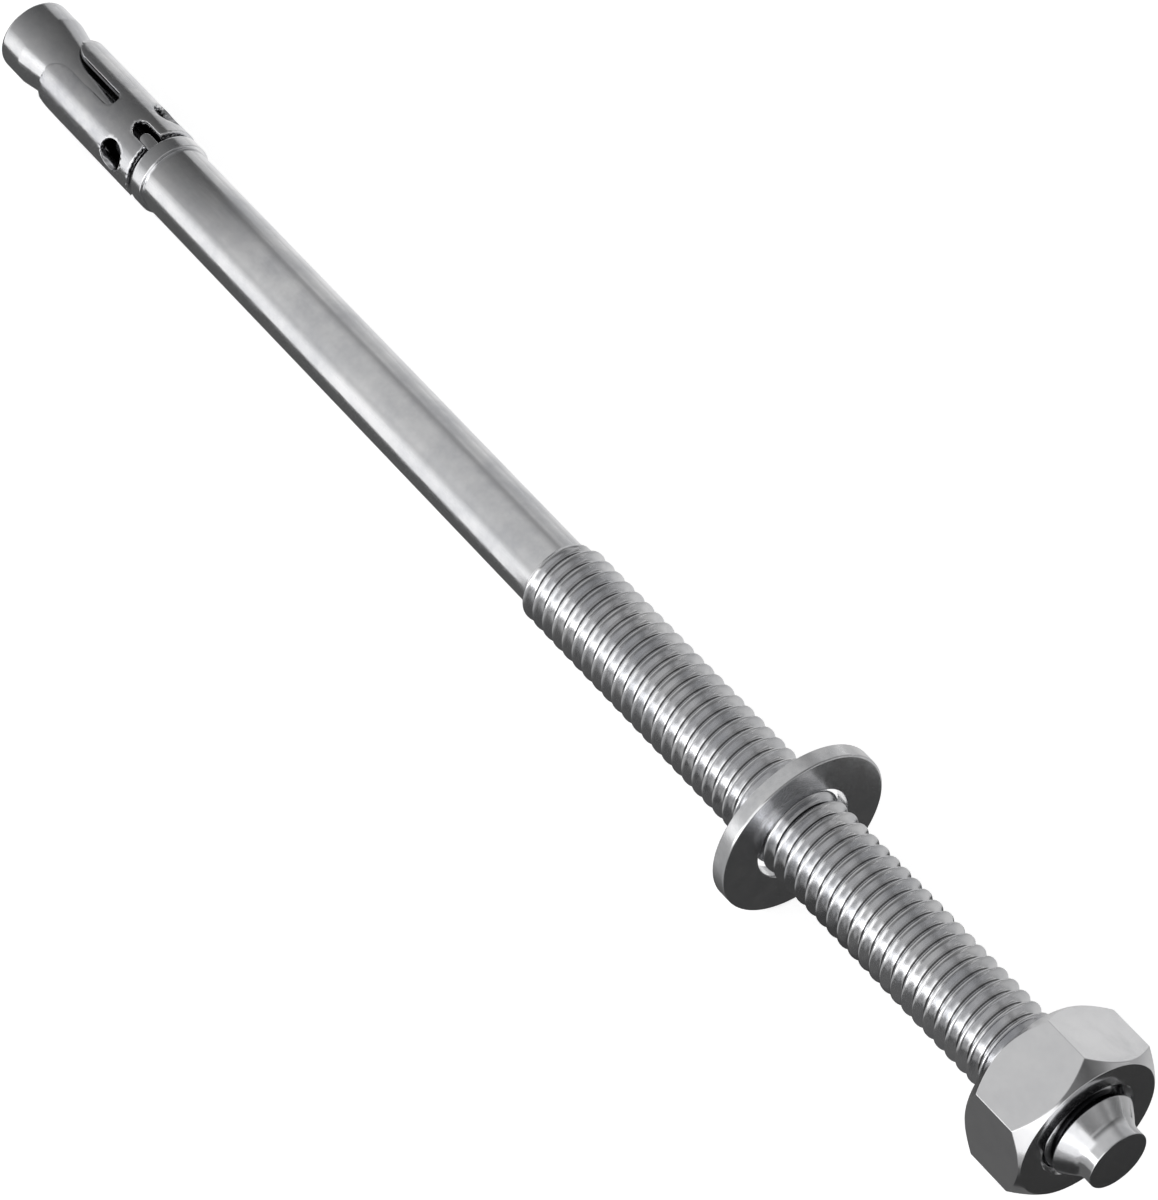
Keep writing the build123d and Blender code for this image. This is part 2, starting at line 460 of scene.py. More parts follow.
def paintedShadeBoreFinish():
    # The nut's tapped bore: painted shade as a near-black, dull colour, under the patches of an oil film.
    look = boreShadeLook
    material = bpy.data.materials.new("oiledBorePaintedShade")
    material.use_nodes = True
    tree = material.node_tree
    shader = tree.nodes["Principled BSDF"]
    shader.inputs["Specular IOR Level"].default_value = look["specular"]
    place = addNode(tree, "ShaderNodeTexCoord").outputs["Object"]
    film = addNode(tree, "ShaderNodeTexNoise", Vector=place, Scale=1 / (look["film"] * mm),
                   Detail=look["detail"]).outputs["Fac"]
    colour = addNode(tree, "ShaderNodeMix", {"data_type": "RGBA"}, s0=film, s6=srgb(look["thick"]),
                     s7=srgb(look["thin"])).outputs[2]
    dull = addNode(tree, "ShaderNodeMapRange", Value=film, To_Min=look["bright"], To_Max=look["dull"])
    bump = addNode(tree, "ShaderNodeBump", Height=film, Strength=1.0, Distance=look["depth"] * mm)
    tree.links.new(colour, shader.inputs["Base Color"])
    tree.links.new(dull.outputs[0], shader.inputs["Roughness"])
    tree.links.new(bump.outputs[0], shader.inputs["Normal"])
    return material


studFinish = rolledStudFinish()
clipFinish = stampedClipFinish()
washerFinish = pressedWasherFinish()
nutFinish = forgedNutFinish()
boreFinishWithShade = paintedShadeBoreFinish()
print("finishes mixed")

# The stud in mm, with lengths counted from its outer end.
studSize = {
    "pointRadius": 2.05,
    "pointLength": 1.0,
    "pointFillet": 1.0,
    "threadLength": 53.6,
    "leadRadius": 2.925,
    "leadLength": 1.2,
    "leadLand": 0.08,
    "leadEdge": 0.03,
    "relief": 0.36,
    "runOut": 0.6,
    "shankRadius": 2.45,
    "collarFront": 96.63,
    "collarLength": 1.23,
    "collarRadius": 2.675,
    "collarEdge": 0.25,
    "shoulderEdge": 0.07,
    "neckRadius": 1.825,
    "coneStart": 105.43,
    "coneSoft": 2.0,
    "landStart": 109.9,
    "landSoft": 0.3,
    "landRadius": 2.65,
    "landEdge": 0.26,
    "fineEdge": 0.05,
    "hold": 0.04,
}
lugSize = {
    "count": 3,
    "angle": 105.3,
    "width": 0.8,
    "length": 1.25,
    "radius": 2.625,
    "footRadius": 1.2,      # hidden inside the neck
    "overlap": 0.3,         # how far it reaches into the collar
    "edge": 0.08,
    "easing": 0.3,          # where the two facets of its rounded edge meet, as a share of it from the top
    "steps": 10,
}


def studProfiles(tip, blind):
    # the two turned stretches, either side of the thread, as (x, r, corner radius) from the thread outwards
    size = studSize
    threadStart = tip - size["threadLength"]
    pointX = tip - size["pointLength"]
    leadX = pointX - size["leadLength"]
    threadEnd = leadX - size["leadLand"]
    collarFront = tip - size["collarFront"]
    collarBack = collarFront + size["collarLength"]
    outer = [
        (threadEnd, size["leadRadius"]),
        (leadX, size["leadRadius"], size["leadEdge"]),
        (pointX, size["pointRadius"], size["pointFillet"]),
        (tip, size["pointRadius"], size["fineEdge"]),
        (tip, 0),
    ]
    inner = [
        (threadStart, size["shankRadius"]),
        (collarBack, size["shankRadius"], size["fineEdge"]),
        (collarBack, size["collarRadius"], size["shoulderEdge"]),
        (collarFront, size["collarRadius"], size["collarEdge"]),
        (collarFront, size["neckRadius"], size["fineEdge"]),
        (tip - size["coneStart"], size["neckRadius"], size["coneSoft"]),
        (tip - size["landStart"], size["landRadius"], size["landSoft"]),
        (blind, size["landRadius"], size["landEdge"]),
        (blind, 0),
    ]
    return threadStart, threadEnd, outer, inner


def lugBlock(angle, front):
    # one round-ended key with eased top edges, rooted inside the neck and the collar
    size = lugSize
    half = size["width"] / 2
    straight = size["length"] - half
    outline = [Vector((-size["overlap"], -half)), Vector((-size["overlap"], half))]
    for k in range(size["steps"] + 1):
        a = math.pi / 2 - math.pi * k / size["steps"]
        outline.append(Vector((straight + half * math.cos(a), half * math.sin(a))))
    bm = bmesh.new()
    edge = size["edge"]
    eased = edge * size["easing"]
    top = size["radius"]
    levels = [(size["footRadius"], 0), (top - edge, 0), (top - eased, eased), (top, edge)]
    centre = Vector((straight / 2, 0))
    rings = []
    for radius, inset in levels:
        ring = []
        for p in outline:
            q = p + (centre - p).normalized() * inset
            tangent = q.y / radius
            ring.append(bm.verts.new((front - q.x, radius * math.cos(tangent), radius * math.sin(tangent))))
        rings.append(ring)
    for a, b in zip(rings, rings[1:]):
        for k in range(len(a)):
            bm.faces.new([a[k], a[(k + 1) % len(a)], b[(k + 1) % len(b)], b[k]])
    bm.faces.new(rings[0][::-1])
    bm.faces.new(rings[-1])
    turned = math.radians(angle)
    for v in bm.verts:
        y, z = v.co.y, v.co.z
        v.co.y = y * math.cos(turned) - z * math.sin(turned)
        v.co.z = y * math.sin(turned) + z * math.cos(turned)
    bmesh.ops.scale(bm, vec=(mm, mm, mm), verts=bm.verts)
    return finishMesh(bm, "lug")


def buildStud():
    low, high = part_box("anchor_bolt")
    threadStart, threadEnd, outer, inner = studProfiles(high.x / mm, low.x / mm)
    bm = bmesh.new()
    bm.from_mesh(threadSkin("studThread", studFinish, threadStart * mm, threadEnd * mm,
                            endRadius=studSize["leadRadius"] * mm, blankRadius=studSize["shankRadius"] * mm,
                            runOut=studSize["runOut"] * mm, relief=studSize["relief"] * mm))
    for profile in (outer, inner):
        path = heldEdges(softCorners(profile), studSize["hold"])
        lathe(bm, [(x * mm, r * mm) for x, r in path], threadSize["sectors"])
    stud = newPiece("studBody", finishMesh(bm, "studBody"), studFinish)
    front = high.x / mm - studSize["collarFront"]
    for k in range(lugSize["count"]):
        mesh = lugBlock(lugSize["angle"] + 360 / lugSize["count"] * k, front)
        lug = newPiece("lugCutter%d" % k, mesh, studFinish)
        joint = stud.modifiers.new("lug%d" % k, "BOOLEAN")
        joint.operation = "UNION"
        joint.solver = "EXACT"
        joint.object = lug
    applied(stud)
    for k in range(lugSize["count"]):
        bpy.data.objects.remove(bpy.data.objects["lugCutter%d" % k])
    stud.data.shade_smooth()
    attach(stud, "stud")
    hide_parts("anchor_bolt")
    return stud


stud = buildStud()
print("anchor bolt", len(stud.data.polygons))

# The clip in mm, as the flat strip that it is rolled from.
clipSize = {
    "sheet": 0.45,
    "angle": 100.8,
    "segments": 3,
    "seam": 0.4,
    "slotWidth": 1.26,
    "slotRoot": 4.3,
    "cornerReach": 1.7,
    "cornerSpread": 0.9,
    "notchWidth": 1.28,
    "notchDepth": 1.97,
    "windowRadius": 1.1,
    "windowInset": 2.04,
    "grain": 0.22,          # how far apart the mesh's points are
    "rimShare": 0.6,        # how near they come to the outline, as a share of that
    "edge": 0.03,
    "edgeSteps": 2,
    "edgeAngle": 60.0,
    "arcSteps": 12,
}


def arcPoints(centre, radius, start, end, steps):
    angles = [start + (end - start) * k / steps for k in range(steps + 1)]
    return [Vector((centre[0] + radius * math.cos(a), centre[1] + radius * math.sin(a))) for a in angles]


def notchPath(middle):
    # one U-shaped notch in the rear edge, walked from left to right
    half = clipSize["notchWidth"] / 2
    top = clipSize["notchDepth"] - half
    arc = arcPoints((middle, top), half, math.pi, 0, clipSize["arcSteps"])
    return [Vector((middle - half, 0))] + arc + [Vector((middle + half, 0))]


def slotPath(middle, length):
    # one slot with its widened mouth, walked from right to left
    half = clipSize["slotWidth"] / 2
    steps = clipSize["arcSteps"]
    reach, spread = clipSize["cornerReach"], clipSize["cornerSpread"]
    bend = (reach ** 2 + spread ** 2) / (2 * spread)
    sweep = math.asin(reach / bend)
    right = arcPoints((middle + half + bend, length - reach), bend, math.pi - sweep, math.pi, steps)
    left = arcPoints((middle - half - bend, length - reach), bend, 0, sweep, steps)
    root = arcPoints((middle, clipSize["slotRoot"] + half), half, 0, -math.pi, steps)
    return right + root + left


def cutToStrip(path, low, high):
    # keeps what lies between the strip's two butting ends
    kept = path[:1] if low <= path[0].x <= high else []
    for a, b in zip(path, path[1:]):
        for limit in (low, high):
            if (a.x - limit) * (b.x - limit) < 0:
                kept.append(a + (b - a) * (limit - a.x) / (b.x - a.x))
        if low <= b.x <= high:
            kept.append(b)
    return kept


def spaced(path, step):
    # adds points to long straight runs
    out = []
    for a, b in zip(path, path[1:] + path[:1]):
        count = max(1, math.ceil((b - a).length / step))
        out += [a + (b - a) * k / count for k in range(count)]
    return out


def inside(point, loop):
    # whether a point lies within a closed outline
    hit = False
    for a, b in zip(loop, loop[1:] + loop[:1]):
        if (a.y > point.y) != (b.y > point.y):
            if point.x < a.x + (b.x - a.x) * (point.y - a.y) / (b.y - a.y):
                hit = not hit
    return hit


def stripPattern(pitchWidth, length):
    # the flat strip before rolling: one outer outline and a round window in each segment
    low = clipSize["seam"] / 2
    high = clipSize["segments"] * pitchWidth - low
    rear, front = [], []
    for k in range(clipSize["segments"] + 1):
        rear += cutToStrip(notchPath(k * pitchWidth), low, high)
        front = cutToStrip(slotPath(k * pitchWidth, length), low, high) + front
    outline = spaced(rear + front, clipSize["grain"])
    windows = []
    steps = 4 * clipSize["arcSteps"]
    for k in range(clipSize["segments"]):
        middle = ((k + 0.5) * pitchWidth, clipSize["windowInset"])
        windows.append(arcPoints(middle, clipSize["windowRadius"], 0, 2 * math.pi, steps)[:-1])
    return outline, windows


def meshPattern(outline, windows):
    # a fine triangle mesh of the pattern, whose edges follow the outline exactly
    loops = [outline] + windows
    points, edges = [], []
    for loop in loops:
        first = len(points)
        points += loop
        edges += [(first + i, first + (i + 1) % len(loop)) for i in range(len(loop))]
    grain = clipSize["grain"]
    xs = [p.x for p in outline]
    ys = [p.y for p in outline]
    rim = kdtree.KDTree(len(points))
    for i, p in enumerate(points):
        rim.insert((p.x, p.y, 0), i)
    rim.balance()
    # rows of points at the corners of even triangles
    rowStep = grain * math.sqrt(3) / 2
    row = 0
    y = min(ys) + rowStep
    while y < max(ys):
        x = min(xs) + grain * (0.5 if row % 2 else 1)
        while x < max(xs):
            here = Vector((x, y))
            if rim.find((x, y, 0))[2] > grain * clipSize["rimShare"] and inside(here, outline):
                if not any(inside(here, w) for w in windows):
                    points.append(here)
            x += grain
        y += rowStep
        row += 1
    verts, _, faces, _, _, _ = geometry.delaunay_2d_cdt(points, edges, [], 0, 1e-6)
    kept = []
    for face in faces:
        middle = sum((verts[i] for i in face), Vector((0, 0))) / len(face)
        if inside(middle, outline) and not any(inside(middle, w) for w in windows):
            kept.append(face)
    return verts, kept


def buildClip():
    low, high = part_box("expansion_clip")
    length = (high.x - low.x) / mm
    outer = max(high.z, high.y, -low.y, -low.z) / mm
    pitchWidth = 2 * math.pi * outer / clipSize["segments"]
    verts, faces = meshPattern(*stripPattern(pitchWidth, length))
    bm = bmesh.new()
    start = math.radians(clipSize["angle"] - 360 / clipSize["segments"])
    middle = (outer - clipSize["sheet"] / 2) * mm
    made = [bm.verts.new(ringPoint(high.x - v.y * mm, middle, start + v.x / outer)) for v in verts]
    for face in faces:
        bm.faces.new([made[i] for i in face])
    bmesh.ops.delete(bm, geom=[v for v in bm.verts if not v.link_faces], context="VERTS")
    bmesh.ops.recalc_face_normals(bm, faces=bm.faces)
    mesh = bpy.data.meshes.new("clipSheet")
    bm.to_mesh(mesh)
    bm.free()
    clip = newPiece("clipSheet", mesh, clipFinish)
    wall = clip.modifiers.new("wall", "SOLIDIFY")
    wall.thickness = clipSize["sheet"] * mm
    wall.offset = 0
    wall.use_even_offset = True
    edge = clip.modifiers.new("edge", "BEVEL")
    edge.width = clipSize["edge"] * mm
    edge.segments = clipSize["edgeSteps"]
    edge.limit_method = "ANGLE"
    edge.angle_limit = math.radians(clipSize["edgeAngle"])
    edge.harden_normals = True
    applied(clip)
    clip.data.shade_smooth()
    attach(clip, "clip")
    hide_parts("expansion_clip")
    return clip


clip = buildClip()
print("expansion clip", len(clip.data.polygons))

# The washer in mm, rounded over on the side that faces the nut.
washerSize = {
    "holeRadius": 3.3,
    "rollOver": 0.12,
    "fineEdge": 0.05,
    "hold": 0.05,
    "sectors": 144,
}


def buildWasher():
    low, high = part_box("washer")
    rear, front, rim = low.x / mm, high.x / mm, high.z / mm
    hole = washerSize["holeRadius"]
    middle = (hole + rim) / 2
    rolled, fine = washerSize["rollOver"], washerSize["fineEdge"]
    outline = [(rear, middle), (rear, rim, fine), (front, rim, rolled), (front, hole, rolled),
               (rear, hole, fine), (rear, middle)]
    path = heldEdges(softCorners(outline), washerSize["hold"])
    bm = bmesh.new()
    lathe(bm, [(x * mm, r * mm) for x, r in path], washerSize["sectors"])
    washer = newPiece("flatWasher", finishMesh(bm, "flatWasher"), washerFinish)
    washer.data.shade_smooth()
    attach(washer, "washer")
    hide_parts("washer")
    return washer


washer = buildWasher()
print("washer", len(washer.data.polygons))

# The nut in mm. Its thread is cut shallow, so that the whole rim of the stud's lead-in can pass through it.
nutSize = {
    "sides": 6,
    "acrossFlats": 10.0,
    "faceRadius": 4.85,
    "mouthRadius": 3.38,
    "mouthSlope": 1.2,
    "minorRadius": 2.945,
    "pitchRadius": 3.005,
    "majorRadius": 3.07,
    "soft": 0.03,
    "cornerAngle": 30.0,
    "edge": 0.045,
    "edgeSteps": 3,
    "sharpAngle": 15.0,     # edges sharper than this, from the face's rim outwards, are rounded
    "rimSlack": 0.001,
}


def flatRadius(angle):
    # how far the hexagon's side is from the axis
    side = 360 / nutSize["sides"]
    fromMiddle = (math.degrees(angle) - nutSize["cornerAngle"]) % side - side / 2
    return nutSize["acrossFlats"] / 2 / math.cos(math.radians(fromMiddle))


def buildNut():
    low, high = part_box("hex_nut")
    rear, front = low.x / mm, high.x / mm
    sectors = threadSize["sectors"]
    bm = bmesh.new()
    soft, mouth = nutSize["soft"] * mm, nutSize["mouthRadius"] * mm
    bm.from_mesh(threadSkin("nutThread", boreFinishWithShade, low.x, high.x,
                            crestRadius=nutSize["majorRadius"] * mm, rootRadius=nutSize["minorRadius"] * mm,
                            pitchRadius=nutSize["pitchRadius"] * mm, crestSoft=soft, rootSoft=soft,
                            mouthRadius=mouth, mouthSlope=nutSize["mouthSlope"], blankRadius=mouth,
                            endRadius=mouth))
    angles = [2 * math.pi * k / sectors for k in range(sectors)]
    radii = [flatRadius(a) for a in angles]
    faceRadius = nutSize["faceRadius"]
    rows = []
    for side, inward in ((front, -1), (rear, 1)):
        rows.append([(side, nutSize["mouthRadius"]) for a in angles])
        rows.append([(side, faceRadius) for a in angles])
        rows.append([(side + inward * (r - faceRadius), r) for r in radii])
    # the thread skin takes the second material, the bore's painted shade
    for face in bm.faces:
        face.material_index = 1
    rings = [[bm.verts.new(ringPoint(x * mm, r * mm, a)) for (x, r), a in zip(row, angles)] for row in rows]
    bm.edges.layers.float.new("bevel_weight_edge")
    # the front face, its chamfer, the flats, and then the rear's chamfer and face
    for a, b in ((0, 1), (1, 2), (2, 5), (5, 4), (4, 3)):
        for k in range(sectors):
            n = (k + 1) % sectors
            bm.faces.new([rings[a][k], rings[b][k], rings[b][n], rings[a][n]])
    bmesh.ops.remove_doubles(bm, verts=bm.verts, dist=mergeGap)
    bmesh.ops.recalc_face_normals(bm, faces=bm.faces)
    weights = bm.edges.layers.float.get("bevel_weight_edge")
    rim = (faceRadius - nutSize["rimSlack"]) * mm
    sharp = math.radians(nutSize["sharpAngle"])
    for e in bm.edges:
        fromAxis = min(math.hypot(v.co.y, v.co.z) for v in e.verts)
        if fromAxis > rim and e.calc_face_angle(0) > sharp:
            e[weights] = 1.0
    mesh = bpy.data.meshes.new("hexNut")
    bm.to_mesh(mesh)
    bm.free()
    nut = newPiece("hexNut", mesh, nutFinish)
    nut.data.materials.append(boreFinishWithShade)
    nut.data.shade_smooth()
    edge = nut.modifiers.new("edge", "BEVEL")
    edge.width = nutSize["edge"] * mm
    edge.segments = nutSize["edgeSteps"]
    edge.limit_method = "WEIGHT"
    edge.harden_normals = True
    applied(nut)
    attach(nut, "nut")
    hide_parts("hex_nut")
    return nut


nut = buildNut()
print("hex nut", len(nut.data.polygons))

# The anchor lies on the washer's rim and the end of its cone, so the floor is laid under both.
floorSize = {
    "reach": 3.0,
    "colour": "#f0f0f0",
    "roughness": 0.9,
    "glow": 0.66,
}


def floorHeight(x):
    # the floor's height in metres under a place along the stud
    washerLow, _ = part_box("washer")
    boltLow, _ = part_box("anchor_bolt")
    endX = boltLow.x + studSize["landEdge"] * mm
    slope = (-studSize["landRadius"] * mm - washerLow.z) / (endX - washerLow.x)
    return washerLow.z + slope * (x - washerLow.x)


def rectangle(left, right, front, back):
    return (left, front), (right, front), (right, back), (left, back)


def floorPatch(name, outline, lift, material):
    # a flat sheet laid on the floor, by its corners along and across the stud
    corners = [(x, y, floorHeight(x) + lift) for x, y in outline]
    mesh = bpy.data.meshes.new(name)
    mesh.from_pydata(corners, [], [range(len(corners))])
    return newPiece(name, mesh, material)


def buildFloor():
    # pale matt paper, which glows just enough where it is looked at to be white
    material = bpy.data.materials.new("palePaperFloor")
    material.use_nodes = True
    tree = material.node_tree
    shader = tree.nodes["Principled BSDF"]
    shader.inputs["Base Color"].default_value = srgb(floorSize["colour"])
    shader.inputs["Roughness"].default_value = floorSize["roughness"]
    shader.inputs["Specular IOR Level"].default_value = 0.0
    shader.inputs["Emission Color"].default_value = (1, 1, 1, 1)
    path = addNode(tree, "ShaderNodeLightPath").outputs
    seen = path["Is Camera Ray"]
    for ray in ("Is Glossy Ray", "Is Transmission Ray"):
        seen = addNode(tree, "ShaderNodeMath", {"operation": "MAXIMUM"}, s0=seen, s1=path[ray]).outputs[0]
    glow = addNode(tree, "ShaderNodeMath", {"operation": "MULTIPLY"}, s0=seen, s1=floorSize["glow"])
    tree.links.new(glow.outputs[0], shader.inputs["Emission Strength"])
    half = floorSize["reach"] / 2
    floorPatch("studioFloor", rectangle(-half, half, -half, half), 0, material)


buildFloor()
print("floor laid")

# Dark cards, seen only in the metal, give it the deep bands that polished steel needs to read as round.
# Most are sheets laid a little above the floor, by their limits along and across the stud or by an outline.
# Sizes are in mm.
flatCards = {
    "under": {"limits": (-140, 45, -10, 1.35), "lift": 0.02, "grey": "#5c5c5c"},
    "nutSide": {"limits": (14, 30, -15, 1.35), "lift": 0.04, "grey": "#646464"},
    "washerFace": {"limits": (1.1, 11, -8, 10), "lift": 0.05, "grey": "#464646"},
    "nutFace": {"limits": (27.5, 42, -8, 16), "lift": 0.05, "grey": "#383838"},
}

# These two change in tone. Greys are (place, brightness) along the span, which runs across the stud for the
# thread's side, and along it for the far floor, whose near edge is brighter by a factor that fades out.
threadSideCard = {
    "outline": ((-104, -140), (38, -140), (38, -10), (22, -10), (22, 1.35), (-23.5, 1.35)),
    "lift": 0.03,
    "span": (-140, 1.35),
    "greys": ((-140, 0.62), (-60, 0.5), (-41, 0.43), (-22, 0.43), (-15.7, 0.46), (-12, 0.44), (-9.5, 0.31),
              (-8, 0.18), (-6, 0.105), (1.35, 0.085)),
}
farFloorCard = {
    "limits": (-300, 300, 5, 400),
    "lift": 0.01,
    "span": (-100, 100),
    "greys": ((-62, 0.66), (-34, 0.6), (0, 0.48), (60, 0.4)),
    "near": 1.35,
    "nearFade": (8, 35),
}

# The last one is bent round the stud's blind end and reaches past it. Its arc, span and greys go by the
# angle about the stud's axis, in degrees from +Y over the top, and it thins out to nothing over the clip.
farEndCard = {
    "radius": 25,
    "arc": (33, 155),
    "steps": 24,
    "edge": -68,
    "fade": 13,
    "reach": 150,
    "span": (0, 180),
    "greys": ((33, 0.08), (60, 0.12), (90, 0.18), (117, 0.26), (155, 0.45)),
}


def placeAxes(tree, kind):
    # a point's place along the stud, across it and up
    place = addNode(tree, "ShaderNodeTexCoord").outputs[kind]
    axes = addNode(tree, "ShaderNodeSeparateXYZ", Vector=place).outputs
    return axes["X"], axes["Y"], axes["Z"]


def tones(tree, value, unit, look):
    # a grey for each place along the look's span, in units of the value
    low, high = look["span"]
    share = addNode(tree, "ShaderNodeMapRange", Value=value, From_Min=low * unit, From_Max=high * unit)
    ramp = addNode(tree, "ShaderNodeValToRGB", Fac=share.outputs[0])
    stops = ramp.color_ramp.elements
    while len(stops) > 1:
        stops.remove(stops[-1])
    for i, (place, grey) in enumerate(look["greys"]):
        position = (place - low) / (high - low)
        stop = stops[0] if i == 0 else stops.new(position)
        stop.position = position
        stop.color = (grey, grey, grey, 1)
    return ramp.outputs[0]


def cardMaterial(name):
    # a plain glow, returned with its tree and its node
    material = bpy.data.materials.new(name)
    material.use_nodes = True
    tree = material.node_tree
    tree.nodes.clear()
    glow = addNode(tree, "ShaderNodeEmission")
    addNode(tree, "ShaderNodeOutputMaterial", Surface=glow.outputs[0])
    return material, tree, glow


def hangCard(card):
    # only mirror reflections meet the card
    card.visible_camera = False
    card.visible_diffuse = False
    card.visible_shadow = False
    card.visible_transmission = False
    card.visible_volume_scatter = False


def hangFlatCards():
    for name, look in flatCards.items():
        material, _, glow = cardMaterial(name + "Card")
        glow.inputs["Color"].default_value = srgb(look["grey"])
        outline = rectangle(*(v * mm for v in look["limits"]))
        hangCard(floorPatch(name + "Card", outline, look["lift"] * mm, material))


def hangThreadSideCard():
    # slanted at its blind end, so that it shows in the thread and not in the shank
    look = threadSideCard
    material, tree, glow = cardMaterial("threadSideCard")
    _, across, _ = placeAxes(tree, "Object")
    tree.links.new(tones(tree, across, mm, look), glow.inputs["Color"])
    outline = [(x * mm, y * mm) for x, y in look["outline"]]
    hangCard(floorPatch("threadSideCard", outline, look["lift"] * mm, material))


def hangFarFloorCard():
    look = farFloorCard
    material, tree, glow = cardMaterial("farFloorCard")
    along, across, _ = placeAxes(tree, "Object")
    tree.links.new(tones(tree, along, mm, look), glow.inputs["Color"])
    start, end = look["nearFade"]
    near = addNode(tree, "ShaderNodeMapRange", {"interpolation_type": "SMOOTHSTEP"}, Value=across,
                   From_Min=start * mm, From_Max=end * mm, To_Min=look["near"], To_Max=1.0).outputs[0]
    tree.links.new(near, glow.inputs["Strength"])
    outline = rectangle(*(v * mm for v in look["limits"]))
    hangCard(floorPatch("farFloorCard", outline, look["lift"] * mm, material))


def hangFarEndCard():
    look = farEndCard
    material, tree, glow = cardMaterial("farEndCard")
    along, across, up = placeAxes(tree, "Object")
    turn = addNode(tree, "ShaderNodeMath", {"operation": "ARCTAN2"}, s0=up, s1=across).outputs[0]
    tree.links.new(tones(tree, turn, math.radians(1), look), glow.inputs["Color"])
    edge, fade, reach = (look[key] * mm for key in ("edge", "fade", "reach"))
    thinned = addNode(tree, "ShaderNodeMapRange", {"interpolation_type": "SMOOTHSTEP"}, Value=along,
                      From_Min=edge - fade, From_Max=edge).outputs[0]
    clear = addNode(tree, "ShaderNodeBsdfTransparent").outputs[0]
    mixed = addNode(tree, "ShaderNodeMixShader", s0=thinned, s1=glow.outputs[0], s2=clear).outputs[0]
    tree.links.new(mixed, tree.nodes["Material Output"].inputs["Surface"])
    bm = bmesh.new()
    start, end = look["arc"]
    rows = []
    for k in range(look["steps"] + 1):
        a = math.radians(start + (end - start) * k / look["steps"])
        rows.append([bm.verts.new(ringPoint(x, look["radius"] * mm, a)) for x in (edge, edge - reach)])
    for a, b in zip(rows, rows[1:]):
        bm.faces.new([a[0], a[1], b[1], b[0]])
    mesh = bpy.data.meshes.new("farEndCard")
    bm.to_mesh(mesh)
    bm.free()
    hangCard(newPiece("farEndCard", mesh, material))


hangFlatCards()
hangThreadSideCard()
hangFarFloorCard()
hangFarEndCard()
print("cards hung")

# The room round the stud, by the angle about its axis from +Y over the top: grey above, pale at both sides.
roomLook = {
    "span": (-180, 180),
    "greys": ((-180, 1.0), (-90, 0.9), (-20, 0.9), (-3, 0.75), (20, 0.53), (30, 0.5), (38, 0.58),
              (46, 0.33), (53, 0.34), (62, 0.48), (69, 0.54), (77, 0.59), (93, 0.6), (117, 0.61),
              (141, 0.7), (155, 0.63), (164, 0.8), (172, 1.08), (180, 1.08)),
}

# How bright the room is by direction. Pairs are where a change starts and ends along the stud, from -1
# straight behind the blind end to 1 straight ahead of the outer one.
roomDim = {
    "ahead": (-0.15, 0.45),     # dimmer ahead, on the far side only
    "aheadShare": 0.3,
    "sideLean": 0.8,            # the far side starts at a leaning plane, with a blur across it
    "sideBlur": (-0.06, 0.1),
    "strip": 0.6,               # a brighter strip in the dim part, which fades by the distance from it
    "stripFade": (0.06, 0.2),
    "stripShare": 0.75,
    "cap": (0.88, 0.97),        # a brighter cap straight ahead
    "capShare": 0.5,
    "lift": 0.9,                # more light from the near side, by this much
    "liftRange": (-0.42, -0.05),
}


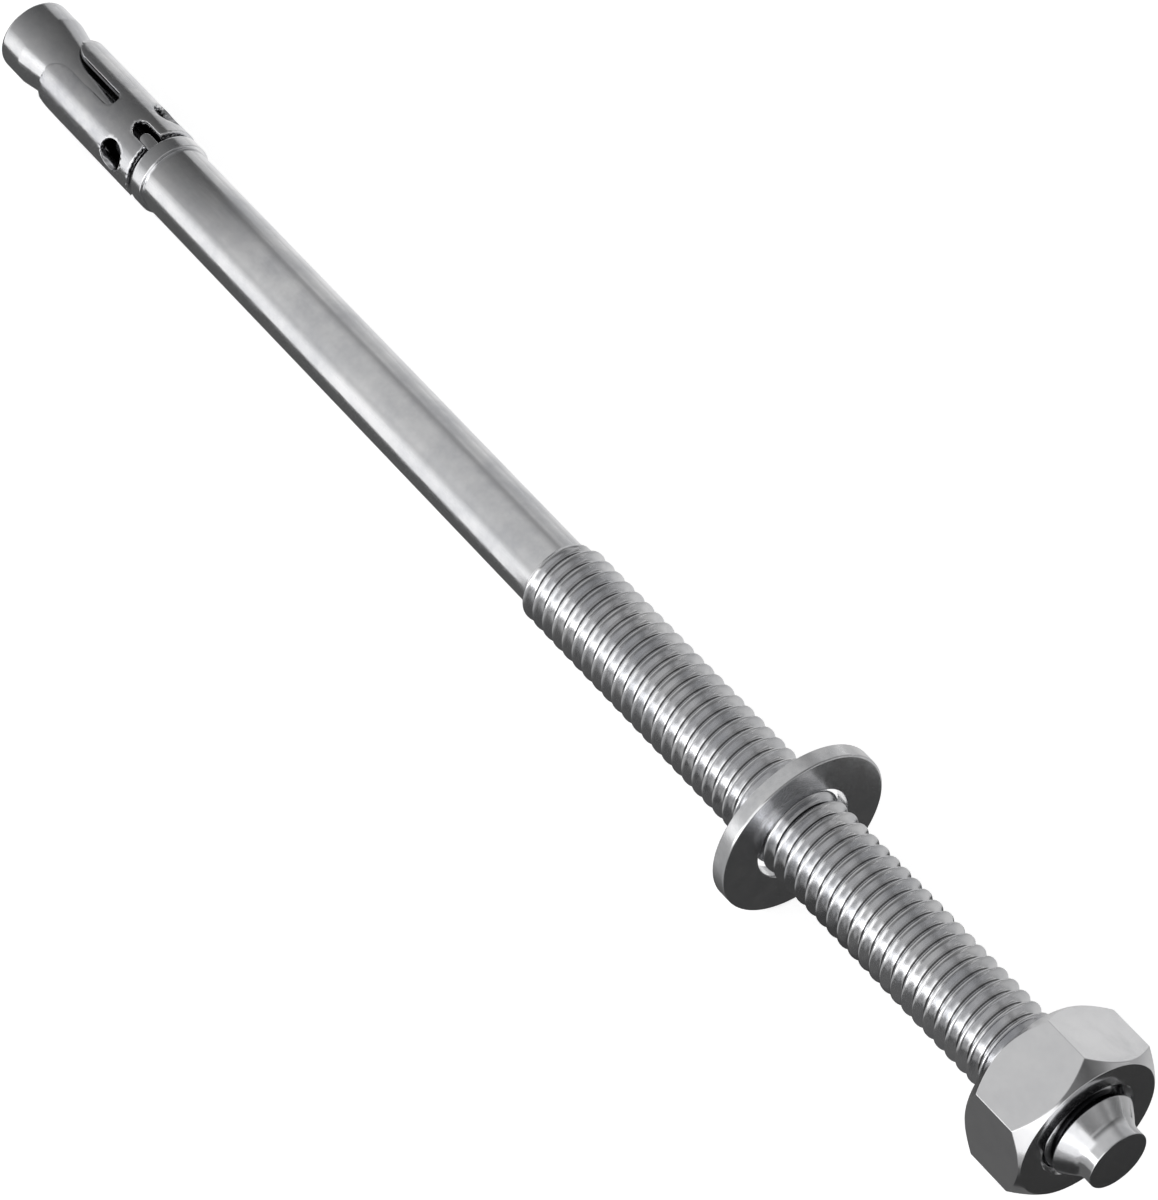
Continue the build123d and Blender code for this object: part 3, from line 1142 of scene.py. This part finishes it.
def buildRoom():
    look = roomDim
    smooth = {"interpolation_type": "SMOOTHSTEP"}
    world = bpy.data.worlds.new("studioRoom")
    bpy.context.scene.world = world
    world.use_nodes = True
    tree = world.node_tree
    along, across, up = placeAxes(tree, "Generated")
    turn = addNode(tree, "ShaderNodeMath", {"operation": "ARCTAN2"}, s0=up, s1=across).outputs[0]
    colour = tones(tree, turn, math.radians(1), roomLook)

    side = addNode(tree, "ShaderNodeMath", {"operation": "MULTIPLY_ADD"}, s0=up, s1=look["sideLean"],
                   s2=across).outputs[0]
    low, high = look["sideBlur"]
    farSide = addNode(tree, "ShaderNodeMapRange", smooth, Value=side, From_Min=low, From_Max=high).outputs[0]
    low, high = look["ahead"]
    ahead = addNode(tree, "ShaderNodeMapRange", smooth, Value=along, From_Min=low, From_Max=high).outputs[0]
    dim = addNode(tree, "ShaderNodeMath", {"operation": "MULTIPLY"}, s0=ahead, s1=farSide).outputs[0]
    dim = addNode(tree, "ShaderNodeMapRange", Value=dim, To_Min=1.0, To_Max=look["aheadShare"]).outputs[0]

    strip = addNode(tree, "ShaderNodeMath", {"operation": "SUBTRACT"}, s0=along, s1=look["strip"])
    strip = addNode(tree, "ShaderNodeMath", {"operation": "ABSOLUTE"}, s0=strip.outputs[0]).outputs[0]
    low, high = look["stripFade"]
    strip = addNode(tree, "ShaderNodeMapRange", smooth, Value=strip, From_Min=low, From_Max=high,
                    To_Min=look["stripShare"], To_Max=0.0).outputs[0]
    low, high = look["cap"]
    cap = addNode(tree, "ShaderNodeMapRange", smooth, Value=along, From_Min=low, From_Max=high,
                  To_Max=look["capShare"]).outputs[0]
    for brighter in (strip, cap):
        dim = addNode(tree, "ShaderNodeMath", {"operation": "MAXIMUM"}, s0=dim, s1=brighter).outputs[0]

    low, high = look["liftRange"]
    fade = addNode(tree, "ShaderNodeMapRange", smooth, Value=along, From_Min=low, From_Max=high).outputs[0]
    lit = addNode(tree, "ShaderNodeMapRange", Value=farSide, To_Min=look["lift"], To_Max=0.0).outputs[0]
    lit = addNode(tree, "ShaderNodeMath", {"operation": "MULTIPLY_ADD"}, s0=fade, s1=lit, s2=1.0)
    dim = addNode(tree, "ShaderNodeMath", {"operation": "MULTIPLY"}, s0=dim, s1=lit.outputs[0]).outputs[0]
    tree.links.new(colour, tree.nodes["Background"].inputs["Color"])
    tree.links.new(dim, tree.nodes["Background"].inputs["Strength"])


buildRoom()
print("room lit")

# Places, the distance and the lens are in mm, and angles in degrees.
cameraLook = {
    "target": (-19.86, -1.0, 2.014),
    "distance": 360.0,
    "azimuth": 53.836,
    "elevation": 49.435,
    "lens": 179.737,
    "sensor": 36.0,
}


def buildCamera():
    data = bpy.data.cameras.new("camera")
    data.lens = cameraLook["lens"]
    data.sensor_width = cameraLook["sensor"]
    camera = bpy.data.objects.new("camera", data)
    bpy.context.scene.collection.objects.link(camera)
    a, e = math.radians(cameraLook["azimuth"]), math.radians(cameraLook["elevation"])
    back = Vector((math.sin(a) * math.cos(e), -math.cos(a) * math.cos(e), math.sin(e)))
    camera.location = (Vector(cameraLook["target"]) + back * cameraLook["distance"]) * mm
    camera.rotation_mode = "QUATERNION"
    camera.rotation_quaternion = (-back).to_track_quat("-Z", "Y")
    bpy.context.scene.camera = camera


buildCamera()
print("camera placed")

# a wide low lamp on the near side
keyLight = {
    "place": (20, -450, 80),
    "target": (-20, 0, 0),
    "width": 500,
    "height": 160,
    "watts": 0.33,
}


def buildKeyLight():
    data = bpy.data.lights.new("keyLight", "AREA")
    data.shape = "RECTANGLE"
    data.size = keyLight["width"] * mm
    data.size_y = keyLight["height"] * mm
    data.energy = keyLight["watts"]
    lamp = bpy.data.objects.new("keyLight", data)
    bpy.context.scene.collection.objects.link(lamp)
    place, target = Vector(keyLight["place"]), Vector(keyLight["target"])
    lamp.location = place * mm
    lamp.rotation_mode = "QUATERNION"
    lamp.rotation_quaternion = (target - place).to_track_quat("-Z", "Y")


buildKeyLight()
print("key light hung")

bpy.context.scene.view_settings.view_transform = "Standard"
